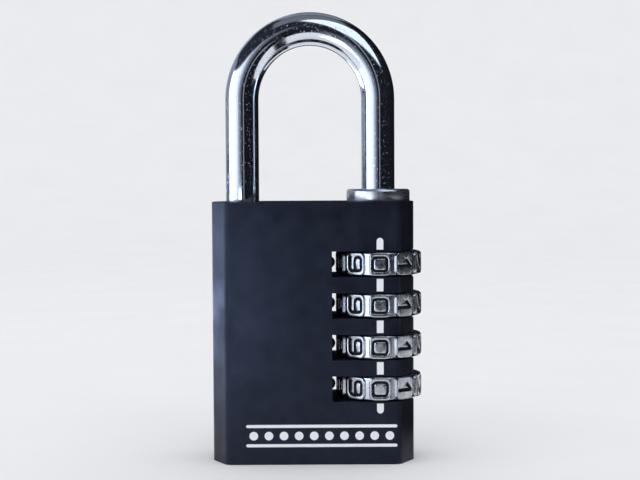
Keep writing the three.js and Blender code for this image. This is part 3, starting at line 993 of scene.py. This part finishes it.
def build_camera():
    """In front of the padlock, at an eye level a little above the body's top."""
    data = bpy.data.cameras.new("camera")
    data.lens = LENS
    data.sensor_width = SENSOR
    data.clip_start = 0.01
    camera = add_object("camera", data)
    camera.location = Vector((CAMERA_RIGHT, -CAMERA_AWAY, BODY_TOP + CAMERA_ABOVE_BODY)) * MM
    tilt = Matrix.Rotation(math.pi / 2 - math.radians(CAMERA_TILT), 3, "X")
    roll = Matrix.Rotation(math.radians(CAMERA_ROLL), 3, "Z")
    camera.rotation_euler = (tilt @ roll).to_euler()
    bpy.context.scene.camera = camera


def studio_sheet(name, columns, rows, cells, in_gloss):
    """A pale sheet over a grid of x columns and (y, z) rows: the given (row, column) cells of it."""
    vertices = [(x, y, z) for y, z in rows for x in columns]
    faces = []
    for row, column in cells:
        corner = row * len(columns) + column
        faces.append([corner, corner + 1, corner + 1 + len(columns), corner + len(columns)])
    sheet = mesh_object(name, vertices, faces, 60)
    sheet.visible_glossy = in_gloss
    sheet.data.materials.append(PAPER)


def build_floor():
    """A pale floor that curves up into a pale wall.

    Gloss sees only the lit cells near the padlock, and the dim room in place of the rest; the cells left
    out to the right of the padlock are a painted shadow in reflections.
    """
    half_width = 2500
    front = -2500
    back = 1200
    rise = 2400
    curve = 500
    curve_steps = 12
    rows = [(front, 0), (-150, 0), (0, 0), (70, 0), (150, 0), (back - curve, 0)]
    for i in range(1, curve_steps + 1):
        angle = math.pi / 2 * i / curve_steps
        rows.append((back - curve + curve * math.sin(angle), curve - curve * math.cos(angle)))
    rows.append((back, rise))
    columns = [-half_width, -160, 34, 60, 140, 260, half_width]
    # The cells missing to the right of the padlock paint its shadow into reflections of the floor.
    lit = [(1, 1), (1, 3), (1, 4), (2, 1), (3, 1), (3, 2), (3, 3)]
    cells = [(row, column) for row in range(len(rows) - 1) for column in range(len(columns) - 1)]
    studio_sheet("studio_table", columns, rows, lit, True)
    studio_sheet("studio_floor", columns, rows, [cell for cell in cells if cell not in lit], False)


COOL_WHITE = (0.80, 0.90, 1.06)
SKY_BLUE = (0.62, 0.78, 1.15)


def softbox(name, azimuths, elevations, radiance, distance=700, colour=COOL_WHITE, lights_floor=False):
    """A flat panel that fills a range of directions seen from the padlock.

    Azimuths are degrees to the right of the camera, elevations degrees above level. A panel either
    shows in gloss or lights the floor.
    """
    azimuth, elevation = (math.radians(sum(pair) / 2) for pair in (azimuths, elevations))
    level = math.cos(elevation)
    direction = Vector((math.sin(azimuth) * level, -math.cos(azimuth) * level, math.sin(elevation)))
    half_width, half_height = (math.radians(abs(b - a) / 2) for a, b in (azimuths, elevations))
    data = bpy.data.lights.new(name, "AREA")
    data.shape = "RECTANGLE"
    data.size = 2 * distance * math.tan(half_width) * level * MM
    data.size_y = 2 * distance * math.tan(half_height) * MM
    data.energy = radiance * math.pi * data.size * data.size_y
    data.color = colour
    light = add_object(name, data)
    light.location = (Vector((0, 0, BODY_TOP)) + direction * distance) * MM
    light.rotation_euler = (-direction).to_track_quat("-Z", "Y").to_euler()
    light.visible_camera = False
    light.visible_diffuse = lights_floor
    light.visible_glossy = not lights_floor


WORLD_LIGHT = 0.95
ROOM_LEFT = 0.035
ROOM_RIGHT = 0.010
ROOM_COLOUR = (0.48, 0.62, 1.0, 1)


def build_world():
    """White light from all round; reflections see a dim room, grey on the left and dark on the right."""
    world = bpy.data.worlds.new("studio")
    world.use_nodes = True
    nodes, links = world.node_tree.nodes, world.node_tree.links
    light = nodes["Background"]
    light.inputs["Color"].default_value = (0.97, 0.98, 1.0, 1)
    light.inputs["Strength"].default_value = WORLD_LIGHT
    room = nodes.new("ShaderNodeBackground")
    room.inputs["Color"].default_value = ROOM_COLOUR
    coordinates = nodes.new("ShaderNodeTexCoord")
    axes = nodes.new("ShaderNodeSeparateXYZ")
    fade = nodes.new("ShaderNodeMapRange")
    fade.inputs["From Min"].default_value = -0.9
    fade.inputs["From Max"].default_value = 0.3
    fade.inputs["To Min"].default_value = ROOM_LEFT
    fade.inputs["To Max"].default_value = ROOM_RIGHT
    path = nodes.new("ShaderNodeLightPath")
    mix = nodes.new("ShaderNodeMixShader")
    links.new(coordinates.outputs["Generated"], axes.inputs["Vector"])
    links.new(axes.outputs["X"], fade.inputs["Value"])
    links.new(fade.outputs["Result"], room.inputs["Strength"])
    links.new(path.outputs["Is Glossy Ray"], mix.inputs["Fac"])
    links.new(light.outputs["Background"], mix.inputs[1])
    links.new(room.outputs["Background"], mix.inputs[2])
    links.new(mix.outputs["Shader"], nodes["World Output"].inputs["Surface"])
    bpy.context.scene.world = world


# The key light, from the left to the front: name, azimuths and radiance.
KEY_PANELS = [
    ("key_side", (-98, -80), 2.4),
    ("key_light", (-80, -56), 2.0),
    ("key_front", (-56, -37), 1.35),
    ("key_edge", (-37, -26), 1.0),
    ("key_fade", (-26, -15), 0.42),
    ("key_tail", (-15, -4), 0.14),
]
KEY_ELEVATIONS = (-28, 24)


def build_light():
    """Softboxes, each for the surfaces that reflect its part of the room."""
    for name, azimuths, radiance in KEY_PANELS:
        softbox(name, azimuths, KEY_ELEVATIONS, radiance)
    softbox("low_fill", (-34, -14), (-34, -2), 2.7, distance=70)
    softbox("left_low", (-148, -88), (-36, -5), 5.2, colour=SKY_BLUE)
    softbox("left_panel", (-132, -99), (1, 30), 0.3)
    softbox("left_shade", (-132, -99), (-28, 1), 0.1)
    softbox("rear_panel", (-172, -134), (-20, 40), 0.4)
    softbox("front_strip", (9, 13), (-10, 30), 0.45)
    softbox("top_light", (2, 74), (28, 67), 1.3)
    softbox("overhead", (-72, 72), (60, 102), 0.17)
    softbox("rear_top_light", (150, 210), (36, 74), 0.26)
    softbox("room_light", (-100, -30), (20, 60), 0.35, lights_floor=True)


build_camera()
build_floor()
build_world()
build_light()
bpy.context.scene.view_settings.view_transform = "Standard"
